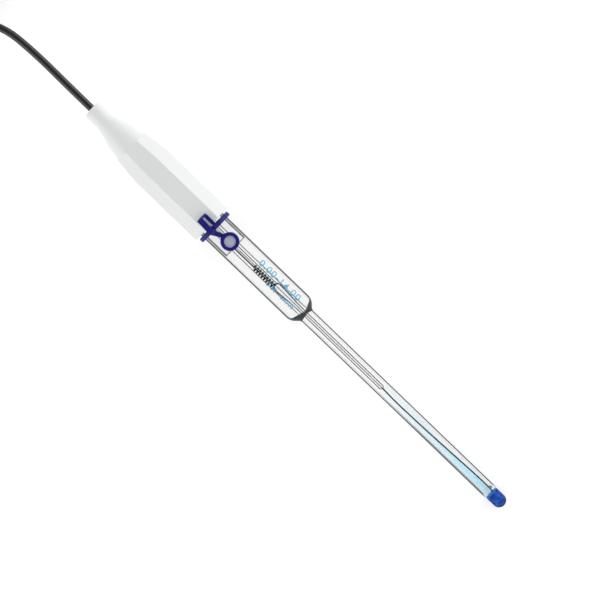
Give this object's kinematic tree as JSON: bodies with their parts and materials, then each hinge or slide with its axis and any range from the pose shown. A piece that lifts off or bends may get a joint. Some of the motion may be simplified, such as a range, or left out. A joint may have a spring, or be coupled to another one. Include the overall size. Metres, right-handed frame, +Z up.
{
  "type": "combination ph electrode with a slim shaft",
  "caption": "Glass combination pH electrode: octagonal cap, clear barrel with a stoppered fill hole, slim shaft with a blue sensing bulb, and a tied coaxial lead with a bayonet plug.",
  "frame": {"origin": "on the surface that the electrode lies on, under the middle of the electrode without its lead", "axes": "+X from the cap towards the bulb along the surface, +Z up, with the fill hole facing up. The electrode's own axis is lowered by 2.16 degrees towards the bulb, as it rests on the cap's lower edge and the shaft's end"},
  "size_m": [0.354, 0.028, 0.0205],
  "materials": {
    "white_plastic": "satin moulded white",
    "potting_resin": "cast, cloudy grey",
    "clear_glass": "clear, fire-polished",
    "clear_liner": "clear thin plastic, smooth",
    "sensing_glass": "thin blue membrane, glossy",
    "blue_filling": "clear pale blue gel",
    "bright_wire": "drawn bright silver",
    "coated_wire": "silver wire with a dark chloride coat",
    "white_ceramic": "porous, matt",
    "core_insulation": "extruded, translucent white",
    "black_sleeve": "heat-shrunk, matt",
    "blue_silicone": "moulded silicone, soft sheen",
    "grey_plug": "smooth, glossy",
    "black_jacket": "extruded, glossy",
    "tie_strap": "flat strap, satin",
    "boot_plastic": "moulded, matt",
    "nickel_plate": "turned and nickel plated",
    "white_insulator": "turned, waxy white",
    "gold_plate": "gold plated",
    "gasket_rubber": "moulded, matt",
    "spring_steel": "rolled and hardened"
  },
  "bodies": {
    "electrode": {"cap_shell": "white_plastic", "cap_potting": "potting_resin", "glass_body": "clear_glass", "inner_sleeve": "clear_liner", "inner_stem": "clear_glass", "sensing_bulb": "sensing_glass", "inner_filling": "blue_filling", "element_capillary": "clear_glass", "element_lead": "bright_wire", "element_wire": "coated_wire", "reference_wire": "coated_wire", "junction_frit": "white_ceramic", "cable_core": "core_insulation", "braid_pigtail": "bright_wire", "core_joint_sleeve": "black_sleeve", "braid_joint_sleeve": "black_sleeve", "stopper_band": "blue_silicone", "stopper_strap": "blue_silicone", "cable_run": "black_jacket", "cable_hank": "black_jacket", "cable_tail": "black_jacket", "hank_tie": "tie_strap", "plug_boot": "boot_plastic", "plug_ferrule": "nickel_plate", "plug_body": "nickel_plate", "plug_insulator": "white_insulator", "plug_pin": "gold_plate", "plug_gasket": "gasket_rubber", "plug_spring": "spring_steel"},
    "stopper": {"stopper_eye": "blue_silicone", "stopper_peg": "grey_plug"},
    "nut_carrier": {"plug_thrust_washer": "spring_steel"},
    "nut": {"plug_nut": "nickel_plate"}
  },
  "joints": [
    {"name": "stopper_pull", "type": "slide", "parent": "electrode", "child": "stopper", "axis": [0.0377, 0, 0.9993], "range_m": [0, 0.005], "deforming": ["stopper_strap"]},
    {"name": "nut_push", "type": "slide", "parent": "electrode", "child": "nut_carrier", "axis": [-0.9623, 0.2045, 0.1792], "range_m": [0, 0.001], "stiffness_N_per_m": 2000, "deforming": ["plug_spring"]},
    {"name": "nut_turn", "type": "hinge", "parent": "nut_carrier", "child": "nut", "pos_m": [-0.23578, -0.00482, 0.00829], "axis": [-0.9623, 0.2045, 0.1792], "continuous": true}
  ]
}
